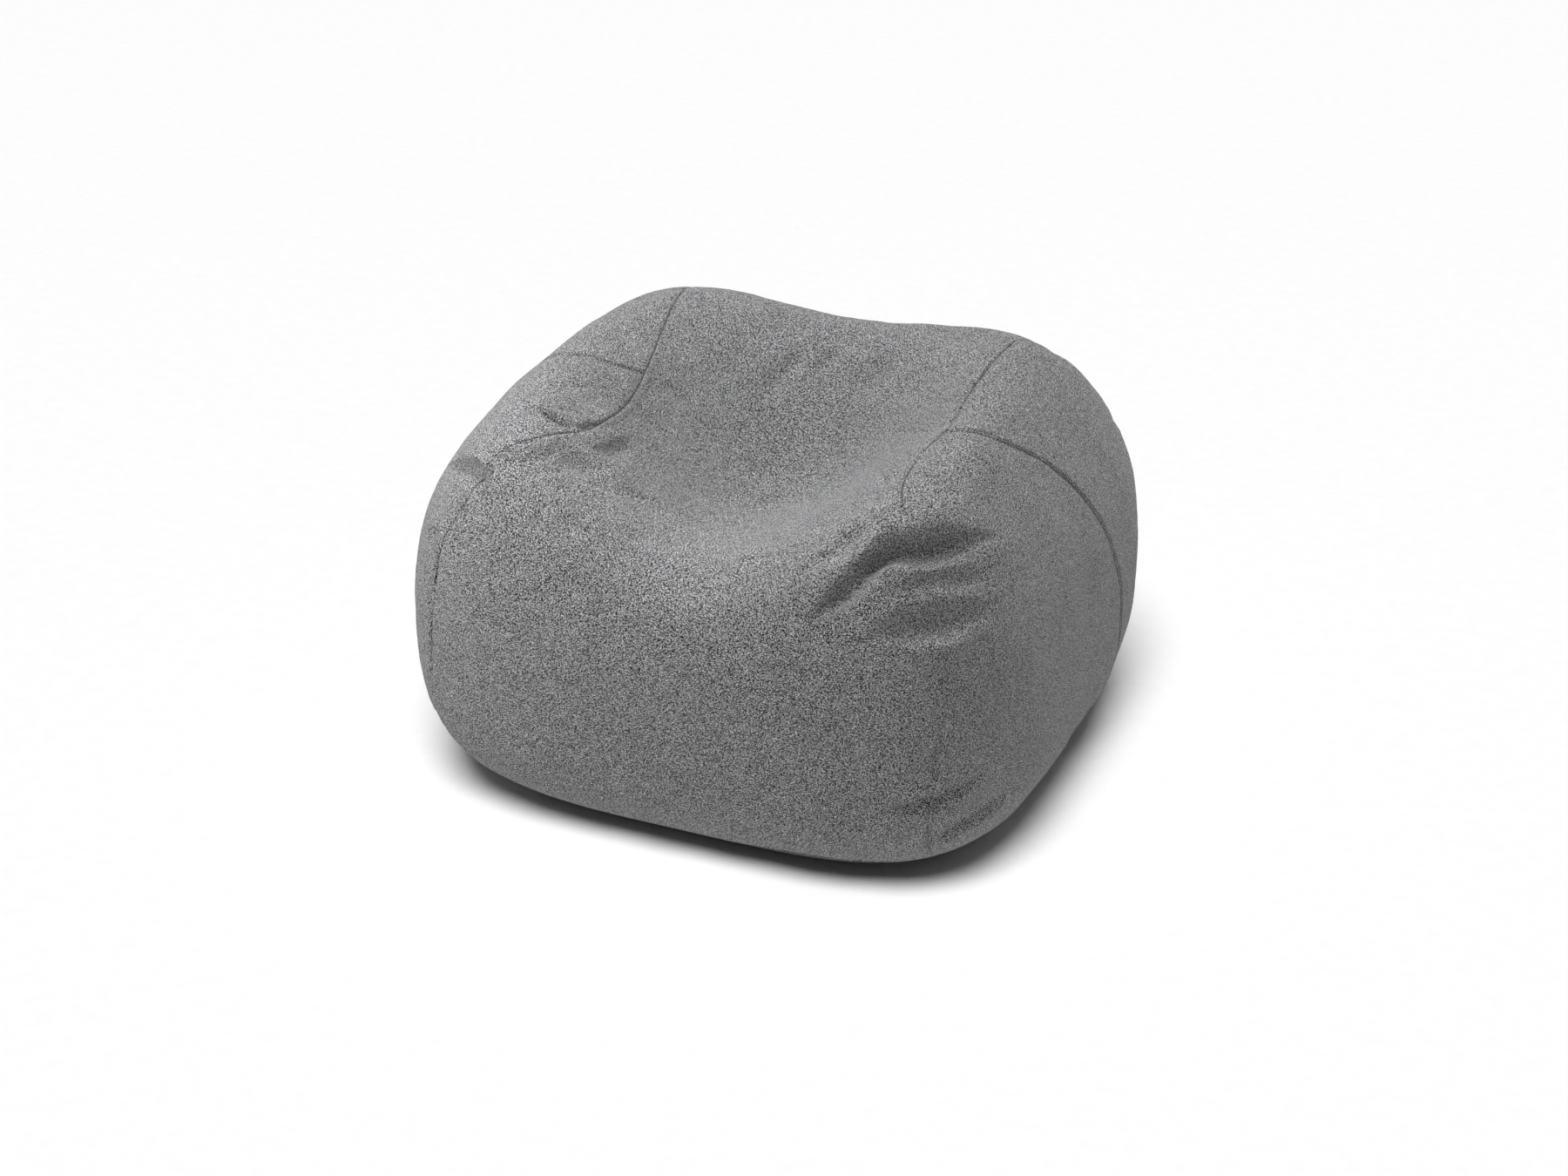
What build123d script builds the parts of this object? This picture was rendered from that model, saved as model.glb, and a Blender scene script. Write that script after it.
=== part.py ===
from build123d import *
import math
import os

# Sizes in millimetres. The bag stands on z = 0, its front faces -Y, and x = 0 is its middle.

# Overall form of the filled bag
bag_width = 900.0
bag_depth = 812.0
belly_height = 266.6       # level of the widest outline
crown_height = 647.3       # level that the arms' outline would reach at the middle of the bag
base_bulge = 18.6          # how far the base would bulge below the floor if it weren't flattened
arm_slope = 0.06           # share by which the arms rise to the back and fall to the front

# Roundness of the outlines: 2 is an ellipse, more is squarer
plan_squareness = 4.29
front_squareness = 2.54
hem_squareness = 3.41
crown_squareness = 2.82
foot_squareness = 3.39

# The hollow that a sitter's weight leaves between the arms
seat_height = 404.0
ridge_height = 583.3
seat_rear = -70.0          # where the seat begins to rise to the back rest
ridge_place = 245.0        # where the back rest reaches the ridge
seat_edge = 345.0          # half width at which the hollow has run out on the arms
lip_place = -60.0          # where the front lip begins to swell
lip_rise = 0.6             # share by which the lip swells at the front

# Lofted sections across the bag
sections_each_side = 8
points_per_section = 24
side_cap = 0.996           # share of the half width at which the outline is closed flat

# Fabric and what lies inside it
cover_thickness = 2.0
liner_thickness = 1.0
layer_gap = 0.3            # play between one layer and the next
liner_rise = 1.9           # play under the liner for its zip slider

# Seams of the cover
seam_waist = 228.0         # half spread of the long seams at their narrowest
seam_front_spread = 134.0  # how much wider each side is at the front
seam_rear_spread = 66.0    # how much wider each side is at the back
back_seam_place = 262.0    # the seam behind the ridge
hem_height = 22.0          # the seam round the base
side_seam_top_place = -50.0
side_seam_top_height = 575.0
side_seam_foot_place = 162.0
side_seam_bend_height = 250.0

# Zip chain, the same on the cover and on the liner
tape_width = 14.0
tape_thickness = 0.8
tooth_pitch = 4.0
tooth_length = 2.4
tooth_margin = 0.6          # bare cord before the first tooth and after the last
tooth_width = 2.2
chain_thickness = 2.4
chain_cord = 1.2
chain_gap = 1.6            # room between the two rows for the slider's post
chain_clearance = 0.25     # between the chain and the inside of the slider
stop_length = 3.0
stop_play = 1.0            # left between a stop and the slider at the end of its travel

# Slider
slider_length = 14.0
slider_plate = 1.2
slider_wall = 0.9
slider_post_width = 1.0
slider_post_length = 4.0
slider_round = 2.0
slot_clearance = 1.2       # between the slider and the edge of the slot
ear_thickness = 1.2
ear_length = 4.4
pull_pin_radius = 0.8
pull_fit = 0.08            # play of the pull's eye on its pin

# Pull tab
pull_length = 30.0
pull_width = 7.0
pull_thickness = 1.4
pull_eye_wall = 0.9
pull_hole_radius = 1.6

# Cover zip, low on the back
cover_zip_length = 430.0
cover_zip_height = 118.0
cover_zip_flat = 2.5       # how far the straight zip draws the back in at its ends

# Liner zip, across the base
liner_zip_length = 380.0
liner_zip_place = 0.0

# Worked out from the sizes above
half_width = bag_width / 2
half_depth = bag_depth / 2
crown_rise = crown_height - belly_height
foot_drop = belly_height + base_bulge
seat_share = (seat_height - belly_height) / crown_rise
ridge_share = (ridge_height - belly_height) / crown_rise
liner_inset = cover_thickness + layer_gap
fill_inset = liner_inset + liner_thickness + layer_gap
liner_floor = cover_thickness + liner_rise
fill_floor = liner_floor + liner_thickness + layer_gap
tooth_reach = chain_gap / 2 + tooth_width + chain_cord
slider_inner = tooth_reach + chain_clearance
slider_half = slider_inner + slider_wall
slot_half = slider_half + slot_clearance
chain_half = chain_thickness / 2 + chain_clearance
slider_depth = tape_thickness / 2 + chain_half + slider_plate
beyond = bag_width + bag_depth + crown_height


def smooth_step(share):
    """Rises from 0 to 1 with no corner at either end."""
    t = min(max(share, 0.0), 1.0)
    return t * t * (3 - 2 * t)


def super_share(share, power):
    """Height of a superellipse of half axes 1, at a share of its half width."""
    return (1 - min(abs(share), 1.0) ** power) ** (1 / power)


def hollow_share(x, y):
    """Share of the full crown height that the hollow of the seat leaves at a place in plan."""
    rise = smooth_step((y - seat_rear) / (ridge_place - seat_rear))
    middle = seat_share + (ridge_share - seat_share) * rise
    swell = smooth_step((lip_place - y) / (lip_place + half_depth))
    middle = middle * (1 + lip_rise * swell)
    across = max(0.0, 1 - (x / seat_edge) ** 2) ** 2
    return 1 - across * (1 - middle)


def outline_point(side_share, turn):
    """Point of the outline in y and z, at a share of the half width and a turn from the front, up and over."""
    along = -math.cos(turn)
    up = math.sin(turn)
    squareness = crown_squareness if up >= 0 else foot_squareness
    reach = crown_rise if up >= 0 else foot_drop
    radius = (abs(along / half_depth) ** squareness + abs(up / reach) ** squareness) ** (-1 / squareness)
    y = radius * along * super_share(side_share, plan_squareness)
    z = radius * up
    if up >= 0:
        z = z * (1 + arm_slope * y / half_depth) * hollow_share(side_share * half_width, y)
        z = z * super_share(side_share, front_squareness)
    else:
        z = z * super_share(side_share, hem_squareness)
    return y, belly_height + z


def section_wire(side_share, x, inset):
    """Closed smooth outline across the bag at x, drawn in by the inset."""
    turns = [2 * math.pi * i / points_per_section for i in range(points_per_section)]
    around = [outline_point(side_share, turn) for turn in turns]
    points = []
    for i, (y, z) in enumerate(around):
        before = around[i - 1]
        after = around[(i + 1) % points_per_section]
        step_y = after[0] - before[0]
        step_z = after[1] - before[1]
        size = math.hypot(step_y, step_z)
        points.append((x, y + inset * step_z / size, z - inset * step_y / size))
    return Wire([Edge.make_spline([Vector(*p) for p in points], periodic=True)])


def back_reach(side_share, z):
    """How far back the outline reaches at a share of the half width, at a level below the belly."""
    drop = foot_drop * super_share(side_share, hem_squareness)
    reach = half_depth * super_share(side_share, plan_squareness)
    return reach * super_share((belly_height - z) / drop, foot_squareness)


def zip_frame():
    """Frame on the back, drawn in where the cover zip lies: X along the zip, Y up, Z out of the bag."""
    rise = 2.0
    slope = back_reach(0, cover_zip_height + rise / 2) - back_reach(0, cover_zip_height - rise / 2)
    lean = math.atan2(slope, rise)
    out = Vector(0, math.cos(lean), -math.sin(lean))
    reach = back_reach(0, cover_zip_height)
    end_share = (cover_zip_length / 2 + 2 * stop_length) / half_width
    fall = (reach - back_reach(end_share, cover_zip_height)) * math.cos(lean)
    place = Vector(0, reach, cover_zip_height) - out * (fall + cover_zip_flat)
    return Plane(origin=place, x_dir=(-1, 0, 0), z_dir=out)


def bag_form(inset, floor, zip_inset):
    """Whole bag drawn in by the inset, cut flat at the floor and where the cover zip lies."""
    wires = []
    for i in range(-sections_each_side, sections_each_side + 1):
        share = math.sin(math.pi / 2 * i / sections_each_side)
        outline_share = max(-side_cap, min(side_cap, share))
        wires.append(section_wire(outline_share, share * (half_width - inset), inset))
    body = Solid.make_loft(wires)
    under = Pos(0, 0, floor - beyond / 2) * Box(2 * beyond, 2 * beyond, beyond)
    behind = zip_frame() * Pos(0, 0, beyond / 2 - zip_inset) * Box(2 * beyond, 2 * beyond, beyond)
    return body - under - behind


def seam_spread(y):
    """Half spread of the two long seams of the cover, narrowest at the arms."""
    spread = seam_front_spread if y < 0 else seam_rear_spread
    return seam_waist + spread * (y / half_depth) ** 2


def side_region(side):
    """Everything outside one long seam, as an upright block with a curved inner wall."""
    places = [half_depth * 1.1 * (i / 4 - 1) for i in range(9)]
    seam = Spline(*[(side * seam_spread(y), y) for y in places])
    far = side * beyond
    front = seam @ 0
    rear = seam @ 1
    edge = Polyline((rear.X, rear.Y), (rear.X, beyond), (far, beyond), (far, -beyond), (front.X, -beyond),
                    (front.X, front.Y))
    return Pos(0, 0, -beyond) * extrude(make_face(seam + edge), 2 * beyond)


def rear_region():
    """Everything behind the side seams, whose line leans back on its way down."""
    top = side_seam_top_place
    foot = side_seam_foot_place
    middle = (top + foot) / 2
    middle_height = (side_seam_top_height + side_seam_bend_height) / 2
    bend = Spline((top, side_seam_top_height), (middle, middle_height), (foot, side_seam_bend_height),
                  tangents=((0, -1), (0, -1)))
    edge = Polyline((foot, side_seam_bend_height), (foot, -beyond), (beyond, -beyond), (beyond, beyond),
                    (top, beyond), (top, side_seam_top_height))
    profile = Plane.YZ * make_face(bend + edge)
    return Pos(-beyond, 0, 0) * extrude(profile, 2 * beyond, dir=(1, 0, 0))


def zip_slot(length, frame):
    """Block that opens a panel for a zip."""
    return frame * Box(length + 2 * stop_length, 2 * slot_half, beyond / 10)


def zip_tape(length, thickness, side):
    """One tape, behind the panel, from its teeth to its sewn edge."""
    inner = chain_gap / 2 + tooth_width
    outer = slot_half + tape_width / 2
    middle = (inner + outer) / 2
    level = -thickness - tape_thickness / 2
    reach = length + 4 * stop_length
    tape = Pos(0, side * middle, level) * Box(reach, outer - inner, tape_thickness)
    return tape - zip_cord(length, thickness, side)


def zip_cord(length, thickness, side):
    """Corded edge of the tape that carries the teeth."""
    middle = chain_gap / 2 + tooth_width + chain_cord / 2
    level = -thickness - tape_thickness / 2
    return Pos(0, side * middle, level) * Box(length, chain_cord, chain_thickness)


def zip_teeth(length, thickness, side):
    """One row of teeth on its cord, cut as a comb."""
    root = side * (chain_gap / 2 + tooth_width + chain_cord)
    base = side * (chain_gap / 2 + tooth_width)
    tip = side * chain_gap / 2
    start = tooth_margin + (tooth_pitch / 4) * (1 + side)
    count = int((length - start - tooth_margin - tooth_length) / tooth_pitch) + 1
    points = [(-length / 2, root), (-length / 2, base)]
    for i in range(count):
        left = start + i * tooth_pitch - length / 2
        right = left + tooth_length
        points += [(left, base), (left, tip), (right, tip), (right, base)]
    points += [(length / 2, base), (length / 2, root)]
    comb = make_face(Polyline(*points, close=True))
    level = -thickness - tape_thickness / 2 - chain_thickness / 2
    return Pos(0, 0, level) * extrude(comb, chain_thickness, dir=(0, 0, 1))


def zip_stops(length, thickness):
    """Four blocks clamped on the ends of the two rows."""
    middle = chain_gap / 2 + (tooth_width + chain_cord) / 2
    level = -thickness - tape_thickness / 2
    place = length / 2 + stop_length / 2
    block = Box(stop_length, tooth_width + chain_cord, chain_thickness)
    block = block - Pos(0, chain_cord, 0) * Box(2 * stop_length, tooth_width + chain_cord, tape_thickness)
    above = Pos(0, middle, 0) * block
    pair = [Pos(end * place, 0, level) * above for end in (-1, 1)]
    below = Rot(180, 0, 0) * above
    return pair + [Pos(end * place, 0, level) * below for end in (-1, 1)]


def slider_body(thickness):
    """Two plates joined by the post between the rows, with walls that close round the teeth."""
    level = -thickness - tape_thickness / 2
    plate = Box(slider_length, 2 * slider_half, slider_plate)
    plate = fillet(plate.edges().filter_by(Axis.Z), slider_round)
    wall_drop = chain_half - tape_thickness / 2 - chain_clearance
    wall = Box(slider_length - 2 * slider_round, slider_wall, wall_drop)
    body = Box(slider_post_length, slider_post_width, 2 * chain_half)
    for face in (-1, 1):
        body += Pos(0, 0, face * (chain_half + slider_plate / 2)) * plate
        for side in (-1, 1):
            body += Pos(0, side * (slider_half - slider_wall / 2), face * (chain_half - wall_drop / 2)) * wall
    return Pos(0, 0, level) * body


def pull_axis_height(thickness):
    """Level of the pull's pin above the panel's face."""
    plate_top = -thickness - tape_thickness / 2 + chain_half + slider_plate
    return plate_top + pull_pin_radius + pull_fit + pull_eye_wall + layer_gap


def pulled_slider(thickness):
    """Slider with the two ears and the pin that carry a pull tab."""
    body = slider_body(thickness)
    plate_top = -thickness - tape_thickness / 2 + chain_half + slider_plate
    axis = pull_axis_height(thickness)
    ear_middle = pull_width / 2 + layer_gap + ear_thickness / 2
    ear_rise = axis - plate_top
    for side in (-1, 1):
        foot = Pos(0, side * ear_middle, plate_top + ear_rise / 2) * Box(ear_length, ear_thickness, ear_rise)
        crown = Pos(0, side * ear_middle, axis) * Rot(90, 0, 0) * Cylinder(ear_length / 2, ear_thickness)
        body += foot + crown
    return body + Pos(0, 0, axis) * Rot(90, 0, 0) * Cylinder(pull_pin_radius, 2 * ear_middle)


def pull_tab(thickness):
    """Flat tab that swings on the slider's pin, lying along the zip, with a thumb hole at its end."""
    axis = pull_axis_height(thickness)
    eye_radius = pull_pin_radius + pull_fit + pull_eye_wall
    tab = Pos(pull_length / 2, 0, 0) * Box(pull_length, pull_width, pull_thickness)
    ends = tab.edges().filter_by(Axis.Z).group_by(Axis.X)[-1]
    tab = fillet(ends, pull_width / 2.5)
    hole = Pos(pull_length - pull_width / 2, 0, 0) * Cylinder(pull_hole_radius, 2 * pull_thickness)
    eye = Rot(90, 0, 0) * Cylinder(eye_radius, pull_width)
    bore = Rot(90, 0, 0) * Cylinder(pull_pin_radius + pull_fit, 2 * pull_width)
    return Pos(0, 0, axis) * (tab + eye - hole - bore)


def rest_place(length):
    """Where the slider stands at the closed end of its zip."""
    return -length / 2 + slider_length / 2 + stop_play


def cover_panels():
    """Sewn panels of the cover, and the slot in the back for the zip."""
    outside = bag_form(0, 0, 0)
    inside = bag_form(cover_thickness, cover_thickness, cover_thickness)
    shell = outside - inside
    low = Pos(0, 0, hem_height - beyond / 2) * Box(2 * beyond, 2 * beyond, beyond)
    base = shell & low
    shell = shell - low
    rear = rear_region()
    panels = {"base_panel": base}
    for name, side in (("left", -1), ("right", 1)):
        half = shell & side_region(side)
        panels[name + "_arm_panel"] = half - rear
        panels[name + "_rear_panel"] = half & rear
        shell = shell - side_region(side)
    back_half = Pos(0, back_seam_place + beyond / 2, 0) * Box(2 * beyond, beyond, 2 * beyond)
    panels["seat_panel"] = shell - back_half
    frame = zip_frame()
    back = (shell & back_half) - zip_slot(cover_zip_length, frame)
    upper = frame * Pos(0, beyond / 2, 0) * Box(2 * beyond, beyond, beyond)
    panels["back_upper_panel"] = back & upper
    panels["back_lower_panel"] = back - upper
    return panels


def liner_frame():
    """Frame under the liner: X along its zip, Z down and out of the liner."""
    return Plane(origin=(0, liner_zip_place, liner_floor), x_dir=(1, 0, 0), z_dir=(0, 0, -1))


def liner_panels():
    """Inner bag that holds the beads, opened by a zip across its base."""
    zip_room = slider_depth + layer_gap + cover_thickness
    outside = bag_form(liner_inset, liner_floor, zip_room)
    inside = bag_form(liner_inset + liner_thickness, liner_floor + liner_thickness, zip_room + liner_thickness)
    shell = outside - inside
    low = Pos(0, 0, hem_height - beyond / 2) * Box(2 * beyond, 2 * beyond, beyond)
    base = (shell & low) - zip_slot(liner_zip_length, liner_frame())
    front = Pos(0, liner_zip_place - beyond / 2, 0) * Box(2 * beyond, beyond, 2 * beyond)
    return {"liner_top": shell - low, "liner_base_front": base & front, "liner_base_rear": base - front}


def bead_fill():
    """Heap of beads, hollowed where the two zips need room."""
    zip_room = slider_depth + layer_gap + cover_thickness + liner_thickness + layer_gap
    heap = bag_form(fill_inset, fill_floor, zip_room)
    reach = liner_zip_length + 6 * stop_length
    tapes = 2 * slot_half + tape_width + 2 * layer_gap
    frame = liner_frame()
    tape_room = 2 * (liner_thickness + tape_thickness + layer_gap)
    slider_room = 2 * (liner_thickness + slider_depth + layer_gap)
    heap = heap - frame * Box(reach, tapes, tape_room)
    return heap - frame * Box(reach, 2 * slot_half, slider_room)


def zip_parts(name, length, thickness, frame, sides):
    """Tapes, toothed rows and stops of one zip, set into its frame."""
    parts = {name + "_stops": [frame * stop for stop in zip_stops(length, thickness)]}
    for side_name, side in sides:
        parts[name + "_tape_" + side_name] = frame * zip_tape(length, thickness, side)
        parts[name + "_teeth_" + side_name] = frame * zip_teeth(length, thickness, side)
    return parts


def build_parts():
    """Every separate piece of the bean bag chair, by its name."""
    parts = cover_panels()
    parts.update(liner_panels())
    parts["bead_fill"] = bead_fill()
    back = zip_frame()
    under = liner_frame()
    parts.update(zip_parts("cover_zip", cover_zip_length, cover_thickness, back, (("upper", 1), ("lower", -1))))
    parts.update(zip_parts("liner_zip", liner_zip_length, liner_thickness, under, (("rear", -1), ("front", 1))))
    at_back = back * Pos(rest_place(cover_zip_length), 0, 0)
    parts["cover_zip_slider"] = at_back * pulled_slider(cover_thickness)
    parts["cover_zip_pull"] = at_back * pull_tab(cover_thickness)
    parts["liner_zip_slider"] = under * Pos(rest_place(liner_zip_length), 0, 0) * slider_body(liner_thickness)
    return parts


os.makedirs("parts", exist_ok=True)
for node, shape in build_parts().items():
    solids = []
    for item in shape if isinstance(shape, list) else [shape]:
        solids += item.solids()
    export_step(solids[0] if len(solids) == 1 else Compound(children=solids), "parts/" + node + ".step")
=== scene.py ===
"""Bean bag chair: the sewn cover, its liner and its beads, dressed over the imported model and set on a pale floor."""
import math

import bmesh
import bpy
import numpy as np
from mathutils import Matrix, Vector


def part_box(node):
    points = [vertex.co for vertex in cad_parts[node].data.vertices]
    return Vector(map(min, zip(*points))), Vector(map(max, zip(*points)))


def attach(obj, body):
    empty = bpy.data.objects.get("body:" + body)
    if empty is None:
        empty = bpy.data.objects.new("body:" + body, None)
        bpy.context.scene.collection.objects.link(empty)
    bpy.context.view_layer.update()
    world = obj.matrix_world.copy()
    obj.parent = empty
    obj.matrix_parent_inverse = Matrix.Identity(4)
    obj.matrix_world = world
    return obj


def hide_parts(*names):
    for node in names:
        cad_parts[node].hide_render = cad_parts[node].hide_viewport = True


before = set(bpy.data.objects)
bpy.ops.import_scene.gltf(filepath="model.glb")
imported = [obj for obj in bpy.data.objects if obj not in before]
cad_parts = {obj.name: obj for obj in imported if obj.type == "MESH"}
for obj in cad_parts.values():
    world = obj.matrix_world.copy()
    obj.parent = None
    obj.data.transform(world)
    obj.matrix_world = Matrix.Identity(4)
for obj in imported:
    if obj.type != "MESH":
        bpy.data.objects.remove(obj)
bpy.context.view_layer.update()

MM = 0.001

# Outline of the filled bag, in metres, the same as the solids'
half_width = 0.450
half_depth = 0.406
belly_height = 0.2666
crown_rise = 0.6473 - belly_height
foot_drop = belly_height + 0.0186
arm_slope = 0.06
plan_squareness = 4.29
front_squareness = 2.54
hem_squareness = 3.41
crown_squareness = 2.82
foot_squareness = 3.39
seat_share = (0.404 - belly_height) / crown_rise
ridge_share = (0.5833 - belly_height) / crown_rise
seat_rear = -0.070
ridge_place = 0.245
seat_edge = 0.345
lip_place = -0.060
lip_rise = 0.6
heart = np.array([0.0, 0.0, 0.23])      # a place inside from which every part of the outline can be seen

# Long seams: turn round the bag in degrees, from the front up and over, and place across in millimetres
RIGHT_SEAM = ((-60, 322), (-28, 347), (-4, 363), (13, 368), (30, 350), (43, 308), (50, 280), (57, 257), (66, 251),
              (77, 258), (98, 254), (117, 260), (140, 272), (165, 285), (200, 292), (240, 278))
LEFT_SEAM = ((-60, -340), (-21, -366), (-6, -360), (9, -352), (26, -338), (36, -308), (46, -288), (54, -244),
             (62, -212), (72, -200), (89, -207), (102, -220), (117, -239), (140, -262), (165, -280), (200, -292),
             (240, -278))
# Side seams: turn down the side in degrees, and place from front to back in millimetres
RIGHT_SIDE_SEAM = ((-48, 160), (-30, 160), (-17, 156), (-8, 147), (1, 133), (13, 103), (32, 35), (47, -23), (58, -74),
                   (70, -87))
LEFT_SIDE_SEAM = ((-48, 160), (-30, 160), (-17, 156), (-8, 147), (1, 133), (13, 103), (32, 35), (47, -23), (62, -56),
                  (70, -44), (79, -8))
right_join_turn = 77.0                   # turn, on the long seams, at which the side seams meet them
left_join_turn = 89.0
side_hub = 0.150                         # the side seams' turn is taken about a line this far from the middle
side_foot_turn = -0.95                   # the side seams are followed down to this turn, past the base seam
fan_height = 0.285                       # height of the point on a side seam from which the side panels' grids spread
ridge_seam_place = 0.262
hem_height = 0.022
hem_lift = 0.030                         # the base seam rises by this under the front right of the bag
hem_lift_turn = math.radians(-57)
hem_lift_spread = 0.33

# Turns in radians between which a line across the strip is looked for
FRONT_HEM = (-1.3, 0.0)
RIDGE = (1.6, 3.0)
ZIP = (math.pi, 4.2)
REAR_HEM = (math.pi, 4.4)

# Zip facet on the back, as in the solids
zip_level = 0.118
zip_depth = 0.00799
zip_half = 0.221
slot_half = 0.0066
zip_room = 0.0088                        # the slider's room, from the zip's plane in to the liner
zip_softness = 0.0035                    # how softly the cloth bends onto the zip's plane
slot_taper = 0.004                       # the slot closes over this length at its ends
turn_length = 0.29                       # length of cloth at the zip for one radian of turn
liner_slot_half = 0.196                  # half the length of the slot in the liner's base

# Lamps: name, kind, strength, spread or size, the way towards it, and what it lights
LAMPS = (("behind", "SUN", 3.4, math.radians(34), (0.0, 0.643, 0.766), "bag"),
         ("right", "SUN", 0.9, math.radians(34), (0.866, 0.0, 0.5), "bag"),
         ("left", "SUN", 0.4, math.radians(34), (-0.7, 0.3, 0.648), "bag"),
         ("top", "SUN", 0.4, math.radians(34), (0.0, 0.0, 1.0), "bag"),
         ("soft_box", "AREA", 22.5, 1.0, (-0.53, -0.59, 0.61), "bag"),
         ("key", "SUN", 3.75, math.radians(24), (0.146, -0.509, 0.848), "floor"))
lamp_distance = 1.6
lamp_aim = (0, 0, 0.3)
sky_strength = 0.09
floor_half = 30.0

# Camera fitted to the photo: turn from the front, lift, distance, height that it looks at, and focal length in pixels
camera_turn = math.radians(23.33)
camera_lift = math.radians(26.36)
camera_distance = 3.891
camera_aim = (0, 0, 0.2469)
focal_pixels = 3183.4
picture_width = 1800
sensor_width = 36.0
camera_range = 200.0

cloth = 0.0014                           # thickness of the cover's cloth
turned_edge = 0.0034                     # depth of the cloth turned in at a seam
liner_cloth = 0.0008
liner_inset = 0.0062                     # depth of the liner under the outline
fill_inset = 0.0082                      # depth of the beads under the outline
bead_rim = 0.003                         # level at which the beads' side ends
bead_floor = 0.0095                      # level of the beads' underside
floor_gap = 0.0004                       # height of the base's cloth over the floor
stitch_gap = 0.0042                      # from a side seam to the row of stitches on each side of it
far_off = 9.0                            # distance that stands for no seam near

# Relief of the cloth, in millimetres: the beads' lumps, fine ripples, and what seams and stitches draw in
lump_height = 1.1
ripple_height = 0.2
edge_dip, edge_width = 3.0, 1.6          # turned-in edge at a seam
draw_dip, draw_width = 0.9, 7            # wider draw beside it
stitch_draw, stitch_width = 0.9, 1.1     # along a row of stitches
SEAM_ROWS = (0, 0.9, 1.9, 3.1, 4.6, 6.6, 9.2, 12.5)     # grid rows, from a seam
calm_level, calm_fade = 0.02, 0.07       # in metres: lumps start at this level and grow over this height
# Right of and in front of these places, in metres, a seam's edge stands proud; the change takes these lengths
proud_x, proud_y = 0.15, -0.22
proud_x_fade, proud_y_fade = 0.1, 0.08
proud_share = 1.5

path_points = 40                         # points along a fold's path
fold_margin = 0.02                       # cloth beyond a fold's reach and this is passed over
fold_blend = 0.004                       # the path's near points are weighed over this distance
fold_fade = 2.4                          # a fold rises to its full height over 1/2.4 of its path
fold_end_width = 0.3                     # share of a fold's reach at its ends
valley_power, roll_power = 2.2, 1.6      # rounding of folds that go in and of folds that stand out

normal_step = 0.0015
far_share = 99                           # cap on a place's share of the outline
cast_halvings, turn_halvings = 34, 40


def smooth_step(share):
    """3 t^2 - 2 t^3, with t the share held between 0 and 1."""
    t = np.clip(share, 0, 1)
    return t * t * (3 - 2 * t)


def super_share(share, power):
    """Height of a superellipse of half axes 1: (1 - |share|^power)^(1/power)."""
    return np.maximum(1 - np.clip(np.abs(share), 0, 1) ** power, 1e-12) ** (1 / power)


def hollow_share(x, y):
    """Share of the crown's height that the seat's hollow leaves: a bowl (1 - (x/edge)^2)^2 across, a step along."""
    middle = seat_share + (ridge_share - seat_share) * smooth_step((y - seat_rear) / (ridge_place - seat_rear))
    middle = middle * (1 + lip_rise * smooth_step((lip_place - y) / (lip_place + half_depth)))
    return 1 - np.clip(1 - (x / seat_edge) ** 2, 0, 1) ** 2 * (1 - middle)


def outline_excess(p):
    """Below 0 inside the bag: the superellipse sum of a place's shares of the outline, to the power 1/n, less 1."""
    x, y, rise = p[..., 0], p[..., 1], p[..., 2] - belly_height
    share = x / half_width
    along = np.abs(y) / (half_depth * super_share(share, plan_squareness))
    crown = crown_rise * (1 + arm_slope * y / half_depth) * hollow_share(x, y) * super_share(share, front_squareness)
    foot = foot_drop * super_share(share, hem_squareness)
    n = np.where(rise >= 0, crown_squareness, foot_squareness)
    up = np.abs(rise) / np.where(rise >= 0, crown, foot)
    return (np.minimum(along, far_share) ** n + np.minimum(up, far_share) ** n) ** (1 / n) - 1


def cast(start, toward):
    """Places where lines from start through the given points leave the bag, found by halving."""
    line = toward - start
    line = line / np.linalg.norm(line, axis=-1, keepdims=True)
    near = np.zeros(line.shape[:-1])
    far = np.ones(line.shape[:-1])
    for _ in range(cast_halvings):
        middle = (near + far) / 2
        inside = outline_excess(start + line * middle[..., None]) < 0
        near = np.where(inside, middle, near)
        far = np.where(inside, far, middle)
    return start + line * near[..., None]


def outward(p):
    """Unit normals of the outline: the slope of the excess along x, y and z, from places just before and after."""
    step = np.eye(3) * normal_step
    slope = np.stack([outline_excess(p + s) - outline_excess(p - s) for s in step], -1)
    return slope / np.linalg.norm(slope, axis=-1, keepdims=True)


def through(knots, at):
    """Smooth line through knots: cubic pieces whose slope at a knot is that between its neighbours."""
    where, value = np.array(knots, float).T
    slope = np.gradient(value, where)
    i = np.clip(np.searchsorted(where, at) - 1, 0, len(where) - 2)
    span = where[i + 1] - where[i]
    t = np.clip((at - where[i]) / span, 0, 1)
    rising = 3 * t ** 2 - 2 * t ** 3
    bend = (t ** 3 - 2 * t ** 2 + t) * slope[i] + (t ** 3 - t ** 2) * slope[i + 1]
    return (1 - rising) * value[i] + rising * value[i + 1] + span * bend


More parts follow.
